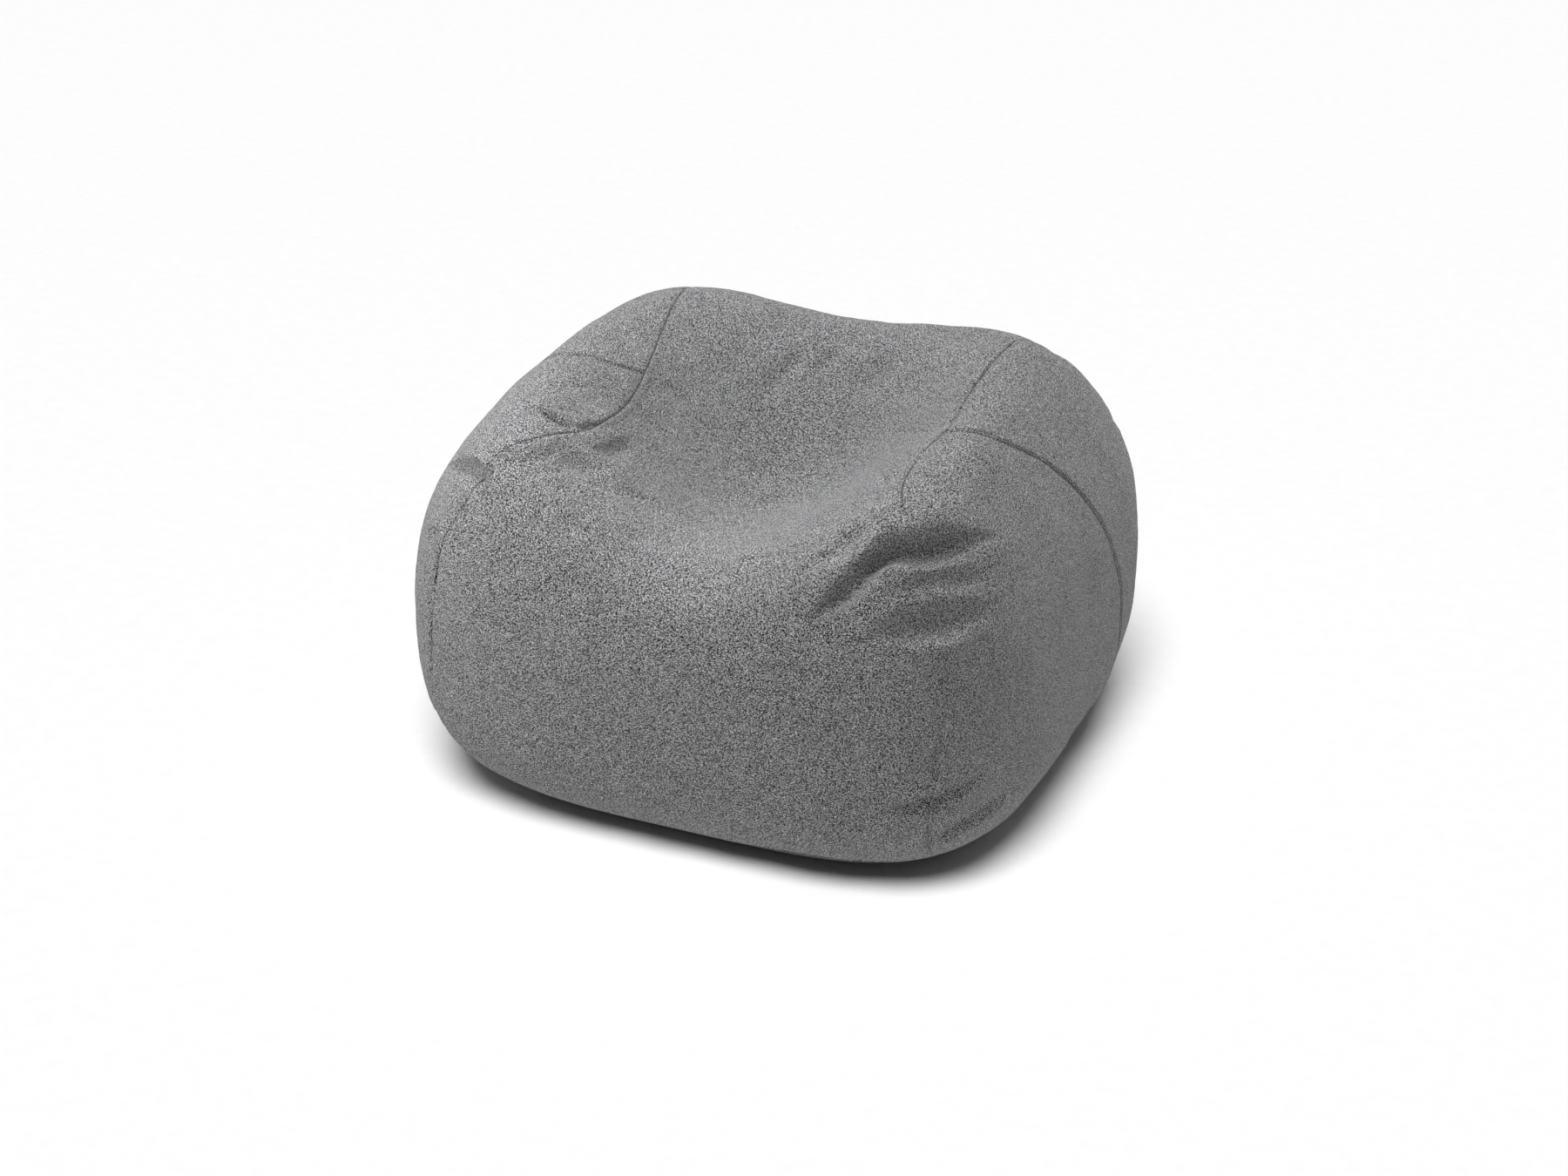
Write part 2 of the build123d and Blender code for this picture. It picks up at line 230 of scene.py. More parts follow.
def strip_place(across, turn):
    """Outline between the long seams: across runs from -1 on the left seam to 1 on the right one."""
    along, up = -np.cos(turn), np.sin(turn)
    n = np.where(up >= 0, crown_squareness, foot_squareness)
    reach = np.where(up >= 0, crown_rise, foot_drop)
    radius = (np.abs(along / half_depth) ** n + np.abs(up / reach) ** n) ** (-1 / n)
    degrees = np.degrees(turn)
    left, right = through(LEFT_SEAM, degrees) * MM, through(RIGHT_SEAM, degrees) * MM
    x = left + (right - left) * (across + 1) / 2
    y = radius * along * super_share(x / half_width, plan_squareness)
    crown = (1 + arm_slope * y / half_depth) * hollow_share(x, y) * super_share(x / half_width, front_squareness)
    rise = radius * up * np.where(up >= 0, crown, super_share(x / half_width, hem_squareness))
    return np.stack([x, y, belly_height + rise], -1)


def hem_level(x, y):
    """Height of the base seam: low all round, lifted in a bell at the front right."""
    away = np.arctan2(y, x) - hem_lift_turn
    return hem_height + hem_lift * np.exp(-(away / hem_lift_spread) ** 2)


def turn_at(across, turns, height):
    """Turn at which the strip passes the place where height(place) is 0, by halving between two turns."""
    low, high = (np.full(np.shape(across), turn) for turn in turns)
    rising = height(strip_place(across, high)) > 0
    for _ in range(turn_halvings):
        middle = (low + high) / 2
        above = height(strip_place(across, middle)) > 0
        low = np.where(above == rising, low, middle)
        high = np.where(above == rising, middle, high)
    return (low + high) / 2


def above_hem(p):
    """Height over the base seam."""
    return p[..., 2] - hem_level(p[..., 0], p[..., 1])


def above_zip(p):
    """Height over the zip."""
    return p[..., 2] - zip_level


def behind_ridge(p):
    """Distance behind the ridge seam."""
    return p[..., 1] - ridge_seam_place


def hem_ring(angle):
    """Base seam at angles in plan, from +X towards +Y."""
    way = np.stack([np.cos(angle), np.sin(angle), 0 * angle], -1)
    start = np.stack([0 * angle, 0 * angle, hem_level(way[..., 0], way[..., 1])], -1)
    return cast(start, start + way)


def side_seam(side, turn, knots):
    """Outline down one side at a turn about a level line through the arm, at the place the seam's knots give."""
    y = through(knots, np.degrees(turn)) * MM
    start = np.stack([0 * turn + side * side_hub, y, 0 * turn + belly_height], -1)
    return cast(start, start + np.stack([side * np.cos(turn), 0 * turn, np.sin(turn)], -1))


def evenly(line, count):
    """The same line with its points at even steps of length, or at the given shares of it."""
    length = np.r_[0, np.cumsum(np.linalg.norm(np.diff(line, axis=0), axis=1))]
    share = np.linspace(0, 1, count) if np.isscalar(count) else np.asarray(count)
    return np.stack([np.interp(share * length[-1], length, line[:, i]) for i in range(3)], -1)


def spaced(count, length, first=True, last=True, crowded=()):
    """Shares from 0 to 1: closer rows beside a seam at either end, and bells of closer rows at given shares."""
    close = np.array(SEAM_ROWS) * MM / length
    low, high = (close if first else np.zeros(1)), (1 - close[::-1] if last else np.ones(1))
    fine = np.linspace(low[-1], high[0], 2001)
    density = np.ones_like(fine)
    for centre, width, gain in crowded:
        density += gain * np.exp(-((fine - centre) / width) ** 2)
    run = np.r_[0, np.cumsum((density[1:] + density[:-1]) / 2)]
    inner = np.interp(np.linspace(0, 1, count), run / run[-1], fine)
    return np.r_[low[:-1], inner, high[1:]]


# Folds and creases of the cloth: path in millimetres, height, and reach above and below the path
FOLDS = (
    # right arm, where the front seam is pulled in
    (((186, -382, 403), (212, -370, 428), (235, -354, 454), (255, -333, 479), (271, -315, 495), (290, -296, 507)),
     -19, 22, 28),
    (((235, -349, 460), (251, -332, 480), (266, -318, 492), (285, -307, 500), (319, -291, 501), (348, -261, 498),
      (379, -211, 489)),
     -30, 29, 33),
    (((279, -279, 519), (313, -262, 521), (341, -243, 514), (367, -217, 500), (390, -189, 482)),
     4, 60, 12),
    (((272, -361, 442), (294, -346, 456), (318, -331, 464), (343, -308, 468), (369, -284, 462), (395, -239, 454)),
     -6, 20, 26),
    (((215, -380, 400), (272, -361, 442), (318, -331, 464), (369, -284, 462), (410, -215, 440)), -7, 78, 70),
    (((262, -384, 390), (292, -372, 409), (326, -356, 418), (358, -334, 419), (380, -308, 421), (407, -257, 421)),
     -18, 38, 28),
    (((288, -384, 371), (337, -362, 387), (375, -332, 391), (407, -288, 390)), 5, 22, 30),
    (((166, -343, 449), (202, -317, 481), (228, -294, 503), (247, -266, 522)), -7, 24, 30),
    (((205, -189, 521), (223, -181, 533), (242, -176, 544)), -3, 7, 8),
    (((273, -238, 538), (309, -222, 540), (342, -196, 531)), -2, 9, 10),
    (((112, 39, 491), (178, -2, 518), (250, -80, 557)), -3, 8, 12),
    (((259, 190, 587), (260, 109, 586), (255, 53, 577), (256, -16, 566), (261, -87, 562), (259, -152, 554),
      (252, -194, 545), (249, -232, 535)), -2.5, 6, 9),
    # left arm: its front edge, the crossing creases at the seam, and fine wrinkles
    (((-304, -310, 492), (-294, -294, 508), (-275, -279, 519), (-248, -263, 523), (-234, -244, 526), (-223, -220, 527),
      (-209, -192, 523)), 5, 40, 22),
    (((-284, -196, 551), (-242, -198, 540), (-223, -196, 531), (-208, -193, 522)), -9, 8, 11),
    (((-232, -193, 536), (-215, -181, 528), (-203, -144, 522)), -6, 8, 10),
    (((-195, -207, 512), (-175, -184, 501), (-168, -152, 495), (-173, -117, 498)), -9, 22, 22),
    (((-208, -282, 501), (-198, -256, 505), (-177, -237, 498), (-155, -205, 486)), -6, 30, 24),
    (((-212, -193, 525), (-196, -195, 514), (-177, -202, 501)), 4, 6, 6),
    (((-392, -238, 462), (-361, -265, 483), (-329, -288, 497), (-307, -302, 498), (-290, -315, 492), (-276, -326, 484),
      (-264, -339, 472)), -14, 11, 22),
    (((-387, -312, 402), (-359, -337, 412), (-341, -351, 410), (-328, -362, 400)), -10, 8, 14),
    (((-264, -332, 479), (-246, -354, 454), (-225, -373, 424)), 3, 8, 10),
    (((-238, -114, 548), (-217, -94, 535), (-203, -85, 525)), -2.6, 6, 8),
    (((-241, -149, 547), (-221, -128, 536), (-203, -112, 523)), -2.6, 6, 8),
    (((-270, -144, 559), (-240, -100, 550), (-212, -62, 532)), -2.0, 6, 8),
    (((-264, -186, 550), (-242, -173, 544), (-220, -161, 533)), -2.4, 6, 8),
    (((-239, -75, 551), (-220, -46, 540), (-206, -31, 532)), -2.0, 6, 8),
    (((-223, 113, 581), (-216, 61, 564), (-207, -8, 539), (-199, -78, 521), (-200, -138, 520), (-208, -195, 522)),
     4, 17, 55),
    (((-197, -13, 529), (-171, 7, 516), (-136, 11, 491)), -4, 14, 16),
    (((-191, -73, 515), (-164, -64, 492), (-139, -68, 470)), -4, 14, 16),
    (((-281, -317, 492), (-295, -330, 476), (-317, -339, 454), (-337, -346, 424), (-341, -359, 388), (-349, -364, 351),
      (-355, -366, 285), (-362, -361, 215), (-375, -338, 141)), -2.2, 6, 8),
    # seat and its lip
    (((-73, -301, 436), (-5, -274, 427), (63, -287, 436), (125, -290, 459), (153, -270, 477)), 5, 60, 70),
    (((-196, -292, 492), (-172, -314, 471), (-142, -329, 450)), 4, 20, 16),
    (((-155, -336, 451), (-136, -307, 458), (-120, -273, 460)), 3, 7, 9),
    (((-120, -309, 451), (-105, -282, 452), (-92, -246, 449)), 3, 7, 9),
    (((-112, -334, 436), (-96, -311, 441), (-80, -283, 442)), 3, 7, 9),
    (((66, -342, 416), (84, -292, 441), (106, -272, 451)), 4, 16, 16),
    (((14, -328, 416), (38, -262, 428)), -3, 14, 14),
    (((-66, -338, 420), (-36, -278, 430)), 4, 17, 17),
    (((-160, -256, 474), (-110, -225, 452), (-50, -238, 432)), -5, 22, 22),
    # back rest
    (((-20, 168, 553), (-59, 91, 506), (-74, 58, 482)), -6, 26, 26),
    (((16, 166, 551), (-16, 98, 508)), -5, 23, 23),
    (((96, 158, 557), (66, 88, 510)), -5, 28, 28),
    # foot of the right front corner
    (((290, -390, 162), (359, -360, 184), (386, -340, 196), (424, -290, 210)), -13, 13, 24),
    (((296, -388, 182), (359, -361, 200), (398, -328, 214)), 7, 18, 16),
    (((328, -346, 86), (391, -316, 132), (415, -284, 146), (438, -222, 158)), -15, 14, 24),
    # foot of the left front corner and the sides
    (((-414, -284, 152), (-372, -338, 130), (-320, -366, 127)), -8, 15, 24),
    (((-438, -204, 184), (-428, -240, 150), (-400, -292, 108)), -7, 16, 26),
    (((440, -60, 126), (440, 60, 96), (428, 165, 92)), -7, 20, 30),
    (((-440, 100, 114), (-438, -20, 96), (-426, -125, 101)), -7, 20, 30),
    # ridge corners and back
    (((60, 230, 570), (135, 208, 581), (209, 181, 589), (261, 169, 589), (300, 160, 580)), -5, 55, 55),
    (((247, 182, 590), (288, 191, 580), (328, 186, 560)), 6, 40, 40),
    (((255, 306, 538), (300, 270, 545), (352, 212, 527)), -4, 16, 26),
    (((-255, 306, 538), (-305, 265, 545), (-358, 202, 527)), -8, 16, 26),
    (((292, 356, 437), (345, 310, 452), (398, 230, 438)), -7, 20, 28),
    (((-292, 358, 427), (-350, 305, 446), (-402, 220, 434)), -7, 20, 28),
    (((-118, 348, 506), (-60, 372, 460), (-26, 390, 398)), -5, 28, 28),
    (((126, 346, 508), (90, 372, 460), (66, 390, 392)), -5, 32, 28),
    (((240, 384, 187), (300, 360, 205), (360, 314, 199)), -8, 16, 26),
    (((-240, 384, 177), (-305, 358, 198), (-368, 304, 190)), -8, 16, 26),
)

waves = np.random.default_rng(7)
LUMPS = [(waves.normal(size=3), waves.uniform(0.07, 0.17), waves.uniform(0, 2 * math.pi)) for _ in range(16)]
RIPPLES = [(waves.normal(size=3), waves.uniform(0.018, 0.034), waves.uniform(0, 2 * math.pi)) for _ in range(18)]


def waved(p, table):
    """Sum of even waves in fixed directions, each sin(2 pi p.d / length + phase), scaled to about -1 to 1."""
    total = np.zeros(p.shape[:-1])
    for way, length, phase in table:
        total += np.sin(p @ (way / np.linalg.norm(way)) * (2 * math.pi / length) + phase)
    return total / math.sqrt(len(table))


def fold_height(p, n, fold):
    """h (1 - (d/w)^2)^k across the fold's path, with its own reach w on each side, fading to the path's ends.

    The distance d is taken from the path's near points, weighted by how near they are.
    """
    path, height, above, below = fold
    points = np.array(path, float) * MM
    steps = np.r_[0, np.cumsum(np.linalg.norm(np.diff(points, axis=0), axis=1))]
    share = np.linspace(0, 1, path_points)
    line = np.stack([through(np.c_[steps, points[:, i]], share * steps[-1]) for i in range(3)], -1)
    ahead = np.gradient(line, axis=0)
    ahead = ahead / np.linalg.norm(ahead, axis=1, keepdims=True)
    reach = max(above, below) * MM + fold_margin
    near = np.all((p > line.min(0) - reach) & (p < line.max(0) + reach), -1)
    q, m = p[near], n[near]
    gap = q[:, None, :] - line[None]
    far = (gap ** 2).sum(-1)
    weight = np.exp(-(far - far.min(1, keepdims=True)) / (2 * fold_blend ** 2))
    weight = weight / weight.sum(1, keepdims=True)
    beside = (weight * (np.cross(m[:, None], ahead[None]) * gap).sum(-1)).sum(1)
    along = (weight * (ahead[None] * gap).sum(-1)).sum(1)
    place = np.clip((weight * share).sum(1) + along / steps[-1], 0, 1)
    past = np.maximum(np.abs(along) - steps[-1] / (path_points - 1), 0)
    fade = smooth_step(fold_fade * place) * smooth_step(fold_fade * (1 - place))
    width = np.where(beside > 0, above, below) * MM * (fold_end_width + (1 - fold_end_width) * fade)
    power = valley_power if height < 0 else roll_power
    total = np.zeros(p.shape[:-1])
    total[near] = height * MM * fade * np.clip(1 - (beside ** 2 + past ** 2) / width ** 2, 0, 1) ** power
    return total


def relief(p, n):
    """Height of the cloth over the outline: slow lumps of the beads, fine ripples, and the folds."""
    clear = smooth_step((p[..., 2] - calm_level) / calm_fade)
    total = (lump_height * waved(p, LUMPS) + ripple_height * waved(p, RIPPLES)) * MM * clear
    for fold in FOLDS:
        total = total + fold_height(p, n, fold)
    return total


def seam_dip(p, distance):
    """Depth of the cloth near a seam: a narrow turned-in edge, slightly raised on the right front, and a wider draw."""
    proud = smooth_step((p[..., 0] - proud_x) / proud_x_fade) * smooth_step((proud_y - p[..., 1]) / proud_y_fade)
    narrow = edge_dip * (1 - proud_share * proud) * np.exp(-(distance / (edge_width * MM)) ** 2)
    return (narrow + draw_dip * np.exp(-(distance / (draw_width * MM)) ** 2)) * MM


def stitch_dip(distance):
    """Depth of the cloth where a row of stitches draws it in beside a seam."""
    return stitch_draw * MM * np.exp(-((distance - stitch_gap) / (stitch_width * MM)) ** 2)


def draw_in(p, room):
    """Flattens the back where the zip lies: what stands out past the zip's plane, less a room, is laid on it softly."""
    place, out = zip_plane()
    over = (p - place) @ out + room
    return p - out * ((over + np.sqrt(over ** 2 + zip_softness ** 2)) / 2)[..., None]


def zip_plane():
    """A point of the zip's plane and the way out of it, from the back's slope at the zip's level."""
    def reach(z):
        return half_depth * super_share((belly_height - z) / foot_drop, foot_squareness)

    lean = math.atan2(reach(zip_level + MM) - reach(zip_level - MM), 2 * MM)
    out = np.array([0, math.cos(lean), -math.sin(lean)])
    return np.array([0, reach(zip_level), zip_level]) - out * zip_depth, out


def dressed(p, distance, inset=0.0, stitched=far_off, room=0.0):
    """Cloth over the outline: moved out by its relief, in by its seams' dips and an inset, and flattened at the zip."""
    n = outward(p)
    height = relief(p, n) - seam_dip(p, distance) - stitch_dip(stitched) - inset
    return draw_in(p + n * height[..., None], room), n


def lengths(grid, axis):
    """Length along a grid's lines from their first point."""
    step = np.linalg.norm(np.diff(grid, axis=axis), axis=-1)
    return np.cumsum(np.concatenate([np.zeros_like(np.take(step, [0], axis)), step], axis), axis)


def edge_gap(grid, axis, first=True, last=True):
    """Distance along the grid's lines to their nearer sewn end."""
    run = lengths(grid, axis)
    whole = np.take(run, [-1], axis)
    far = np.full_like(run, far_off)
    return np.minimum(run if first else far, whole - run if last else far)


def cells(grid):
    """Numbers of a grid's points in its rows and columns, and its faces."""
    rows, columns = grid.shape[:2]
    index = np.arange(rows * columns).reshape(rows, columns)
    quads = np.stack([index[:-1, :-1], index[:-1, 1:], index[1:, 1:], index[1:, :-1]], -1).reshape(-1, 4)
    return index, quads


def shell(outer, inner):
    """Points and faces of a thin closed cloth: an outer grid, an inner grid turned over, and a rim between them."""
    index, quads = cells(outer)
    rim = np.concatenate([index[0, :-1], index[:-1, -1], index[-1, :0:-1], index[:0:-1, 0]])
    after = np.roll(rim, -1)
    inside = quads[:, ::-1] + index.size
    walls = np.stack([after, rim, rim + index.size, after + index.size], -1)
    return np.concatenate([outer.reshape(-1, 3), inner.reshape(-1, 3)]), np.concatenate([quads, inside, walls])


def piece(name, points, faces, material):
    """Mesh object at the origin, with doubled points merged and smooth shading, riding on the bag."""
    mesh = bpy.data.meshes.new(name)
    mesh.from_pydata(points.tolist(), [], faces if isinstance(faces, list) else faces.tolist())
    work = bmesh.new()
    work.from_mesh(mesh)
    bmesh.ops.remove_doubles(work, verts=work.verts, dist=1e-6)
    work.to_mesh(mesh)
    work.free()
    mesh.polygons.foreach_set("use_smooth", np.ones(len(mesh.polygons), bool))
    mesh.materials.append(material)
    thing = bpy.data.objects.new(name, mesh)
    bpy.context.scene.collection.objects.link(thing)
    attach(thing, "bag")
    return thing


def sewn(name, grid, distance, material, stitched=far_off, zip_row=None):
    """A panel of the cover, that stands for its solid: cloth stretched over the fill.

    Its sewn edges turn in under the seam, apart from a row of the grid that runs along the zip.
    """
    outer, n = dressed(grid, distance, stitched=stitched)
    depth = np.full(outer.shape[:2] + (1,), cloth)
    depth[[0, -1]] = turned_edge
    depth[:, [0, -1]] = turned_edge
    if zip_row is not None:
        depth[zip_row] = cloth
    points, faces = shell(outer, outer - n * depth)
    thing = piece(name + "_cloth", points, faces, material)
    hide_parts(name)


def strip_panel(name, across, first, last, share, material, zip_row=None):
    """A panel between the long seams, in rows at the given shares of the way from its first turn to its last."""
    share = share[:, None]
    grid = strip_place(across[None] + 0 * share, first + (last - first) * share)
    gap = np.minimum(edge_gap(grid, 0), edge_gap(grid, 1))
    sewn(name, grid, gap, material, zip_row=zip_row)


def middle_panels(material):
    """Seat, back above the zip and back below it: grids of across and turn between the long seams."""
    width, seat_run, back_run, foot_run = 0.60, 1.35, 0.50, 0.10    # about, for the rows beside the seams
    across = 2 * spaced(150, width, crowded=((0.9, 0.12, 1.4), (0.12, 0.1, 1.0))) - 1
    front, ridge = turn_at(across, FRONT_HEM, above_hem), turn_at(across, RIDGE, behind_ridge)
    share = spaced(310, seat_run, crowded=((0.53, 0.12, 1.2),))
    strip_panel("seat_panel", across, front, ridge, share, material)

    across = 2 * spaced(110, width) - 1
    ridge, hem = turn_at(across, RIDGE, behind_ridge), turn_at(across, REAR_HEM, above_hem)
    zipped = turn_at(across, ZIP, above_zip)
    x = strip_place(across, zipped)[..., 0]
    opening = slot_half * smooth_step((zip_half - np.abs(x)) / slot_taper) / turn_length
    share = spaced(76, back_run)
    strip_panel("back_upper_panel", across, ridge, zipped - opening, share, material, zip_row=-1)
    share = spaced(16, foot_run)
    strip_panel("back_lower_panel", across, zipped + opening, hem, share, material, zip_row=0)


def side_lines(side):
    """The lines that bound one side: the long seam before and behind the join, the side seam, and three hem angles."""
    long_points, seam_points = 500, 900
    across = np.array([side * 1.0])
    first = turn_at(across, FRONT_HEM, above_hem)[0]
    last = turn_at(across, REAR_HEM, above_hem)[0]
    join = math.radians(right_join_turn if side > 0 else left_join_turn)
    front = strip_place(side * np.ones(long_points), np.linspace(first, join, long_points))
    rear = strip_place(side * np.ones(long_points), np.linspace(join, last, long_points))
    top = math.atan2(front[-1, 2] - belly_height, side * front[-1, 0] - side_hub)
    turn = np.linspace(side_foot_turn, top, seam_points)
    seam = side_seam(side, turn, RIGHT_SIDE_SEAM if side > 0 else LEFT_SIDE_SEAM)
    seam = seam[above_hem(seam) > 0]
    # The last third of the side seam is eased onto the join
    seam = seam + (front[-1] - seam[-1]) * smooth_step(np.linspace(-2, 1, len(seam)))[:, None]
    foot, toe, heel = (math.atan2(p[1], p[0]) for p in (seam[0], front[0], rear[-1]))
    return front, rear, seam, foot, toe, heel


def fan(seam, hub, rim, rows, columns):
    """Grid from a point on the side seam out to the rim: straight lines, bent onto the seam at both ends, cast out."""
    rim_run, spoke_run = 1.4, 0.45      # about, for the rows beside the seams
    edge = evenly(rim, spaced(columns, rim_run, crowded=((0.72, 0.12, 1.2),)))
    share = spaced(rows, spoke_run, first=False, crowded=((0.85, 0.2, 1.0),))[:, None]
    centre = seam[hub]
    down, up = evenly(seam[hub::-1], share[:, 0]), evenly(seam[hub:], share[:, 0])
    grid = centre + (edge[None] - centre) * share[..., None]
    along = np.linspace(0, 1, edge.shape[0])[None, :, None]
    ends = (down, up) if np.linalg.norm(edge[0] - seam[0]) < np.linalg.norm(edge[0] - seam[-1]) else (up, down)
    grid = grid + (ends[0][:, None] - grid[:, :1]) * (1 - along) ** 3
    grid = grid + (ends[1][:, None] - grid[:, -1:]) * along ** 3
    return cast(heart, np.where(share[..., None] > 0, grid, centre))


def side_panels(name, side, material):
    """Arm and rear panels of one side: two fans that meet along the side seam, which is handed back."""
    skirt_points = 300
    front, rear, seam, foot, toe, heel = side_lines(side)
    if side < 0:    # there the hem's angles run on past half a turn
        foot, toe, heel = foot % (2 * math.pi), toe % (2 * math.pi), heel % (2 * math.pi)
    hub = int(np.argmin(np.abs(seam[:, 2] - fan_height)))
    skirt = hem_ring(np.linspace(foot, toe, skirt_points))
    grid = fan(seam, hub, np.concatenate([skirt, front[1:]]), 100, 330)
    panel(name + "_arm_panel", grid, side, material)
    skirt = hem_ring(np.linspace(heel, foot, skirt_points))
    grid = fan(seam, hub, np.concatenate([rear, skirt[1:]]), 70, 230)
    panel(name + "_rear_panel", grid, side, material)
    return seam


def panel(name, grid, side, material):
    """A side panel, its grid turned so that its faces look outwards, and drawn in by stitches beside its side seam."""
    grid = grid[:, ::-1] if side < 0 else grid
    stitched = edge_gap(grid, 1)
    gap = np.minimum(edge_gap(grid, 0, first=False), stitched)
    sewn(name, grid, gap, material, stitched)


def base_piece(material):
    """Base: from the seam down to the floor and in to the middle, round in plan."""
    angle = np.linspace(0, 2 * math.pi, 361)
    way = np.stack([np.cos(angle), np.sin(angle), 0 * angle], -1)
    level = hem_level(way[:, 0], way[:, 1])
    down = 1 - spaced(7, 0.03, last=False)
    start = np.stack([np.zeros((len(down), len(angle)))] * 2 + [down[:, None] * level + floor_gap], -1)
    wall = cast(start, start + way)
    floor = wall[-1][None] * np.array([0.97, 0.9, 0.75, 0.5, 0.25, 0.0])[:, None, None]
    floor[..., 2] = wall[-1, :, 2]
    run = lengths(wall, 0)
    n = outward(wall)
    wall = wall - n * seam_dip(wall, run)[..., None]
    outer = np.concatenate([wall, floor])
    lift = np.concatenate([n, np.broadcast_to(np.array([0, 0, -1.0]), floor.shape)])
    inner = outer - lift * cloth
    inner[..., 2] = np.maximum(inner[..., 2], cloth + floor_gap)
    points, faces = shell(outer[:, ::-1], inner[:, ::-1])
    thing = piece("base_panel_cloth", points, faces, material)
    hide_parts("base_panel")


def round_grid(rows, columns, low, inset, room):
    """The bag above a level, at a depth under the outline: a grid of turns round the upright line through its heart."""
    angle = np.linspace(0, 2 * math.pi, columns)
    tilt = np.linspace(0, 1, rows)[:, None]
    rim = cast(np.array([0, 0, low]), np.stack([np.cos(angle), np.sin(angle), 0 * angle], -1) + np.array([0, 0, low]))
    start = math.pi / 2
    end = np.arctan2(rim[:, 2] - heart[2], np.hypot(rim[:, 0], rim[:, 1]))
    rise = start + (end - start) * tilt
    way = np.stack([np.cos(rise) * np.cos(angle), np.cos(rise) * np.sin(angle), np.sin(rise) + 0 * angle], -1)
    p = cast(heart, heart + way)
    return dressed(p, np.full(p.shape[:-1], far_off), inset, room=room)


def inner_bag(material, bead_material):
    """Liner and beads: the outline above the base, drawn in under the cover, with their flat undersides."""
    outer, n = round_grid(150, 241, hem_height, liner_inset, zip_room)
    points, faces = shell(outer[:, ::-1], (outer - n * liner_cloth)[:, ::-1])
    top = piece("liner_top_cloth", points, faces, material)
    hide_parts("liner_top")

    outer = round_grid(150, 241, bead_rim, fill_inset, zip_room + fill_inset - liner_inset)[0]
    rim = outer[-1]
    under = rim[None] * np.array([0.97, 0.9, 0.7, 0.4, 0.0])[:, None, None]
    under[..., 2] = bead_floor + (rim[None, :, 2] - bead_floor) * np.array([0.4, 0, 0, 0, 0])[:, None]
    grid = np.concatenate([outer, under])[:, ::-1]
    beads = piece("beads", grid.reshape(-1, 3), cells(grid)[1], bead_material)
    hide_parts("bead_fill")


def liner_bases(material):
    """Two halves of the liner's base: from the zip's slot out to the rim and up the side."""
    for name, side in (("front", -1), ("rear", 1)):
        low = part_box("liner_base_" + name)[0]
        turn = np.linspace(0, math.pi, 121)
        way = np.stack([-side * np.cos(turn), side * np.sin(turn), 0 * turn], -1)
        level = np.array([0.002, 0.005, 0.010, 0.016, hem_height])[:, None]
        start = np.stack([0 * level + 0 * turn, 0 * level + 0 * turn, level + 0 * turn], -1)
        wall = cast(start, start + way)
        wall = wall - outward(wall) * liner_inset
        rim = wall[0]
        slot = slot_half * smooth_step((liner_slot_half - np.abs(rim[:, 0])) / slot_taper)
        share = np.array([0, 0.05, 0.2, 0.5, 0.8, 0.95])[:, None]
        x = rim[None, :, 0] * (0.96 + 0.04 * share)
        y = side * slot + (rim[None, :, 1] - side * slot) * share
        outer = np.concatenate([np.stack([x, y, low.z + 0 * x], -1), wall])
        inner = outer + np.array([0, 0, liner_cloth])
        points, faces = shell(outer[:, ::-side], inner[:, ::-side])
        thing = piece("liner_base_" + name + "_cloth", points, faces, material)
        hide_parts("liner_base_" + name)


def stitches(name, seam, material):
    """Two rows of stitches beside a side seam: short tapered threads, each a five-sided tube along the row."""
    pitch, half_length, thickness, lift = 5.2 * MM, 1.75 * MM, 0.62 * MM, 0.2 * MM
    share_step = 0.002                   # for the way ahead along the seam
    rings = sides = 5
    length = np.linalg.norm(np.diff(seam, axis=0), axis=1).sum()
    count = int(length / pitch) - 2
    middle = (np.arange(count) + 1.5)[:, None] * pitch
    reach = np.array([-1.0, -0.75, 0, 0.75, 1.0])[None] * half_length
    share = ((middle + reach) / length).ravel()
    line = evenly(seam, share)
    ahead = evenly(seam, np.clip(share + share_step, 0, 1)) - evenly(seam, np.clip(share - share_step, 0, 1))
    ahead = ahead / np.linalg.norm(ahead, axis=-1, keepdims=True)
    swell = np.tile(np.array([0.25, 0.8, 1.0, 0.8, 0.25]), count)
    turn = np.linspace(0, 2 * math.pi, sides + 1)[:-1]
    points, faces = [], []
    for row, away in enumerate((-stitch_gap, stitch_gap)):
        aside = cast(heart, line + np.cross(outward(line), ahead) * away)
        place, n = dressed(aside, np.full(len(aside), abs(away)))
        over = np.cross(n, ahead)
        ring = n[:, None] * np.cos(turn)[None, :, None] + over[:, None] * np.sin(turn)[None, :, None]
        tube = (place + n * lift)[:, None] + ring * (thickness * swell)[:, None, None]
        index = np.arange(len(aside) * sides).reshape(count, rings, sides) + row * len(aside) * sides
        onward = np.roll(index, -1, 2)
        quads = np.stack([index[:, :-1], onward[:, :-1], onward[:, 1:], index[:, 1:]], -1)
        points.append(tube.reshape(-1, 3))
        faces += quads.reshape(-1, 4).tolist() + index[:, 0, ::-1].tolist() + index[:, -1].tolist()
    thing = piece(name, np.concatenate(points), faces, material)


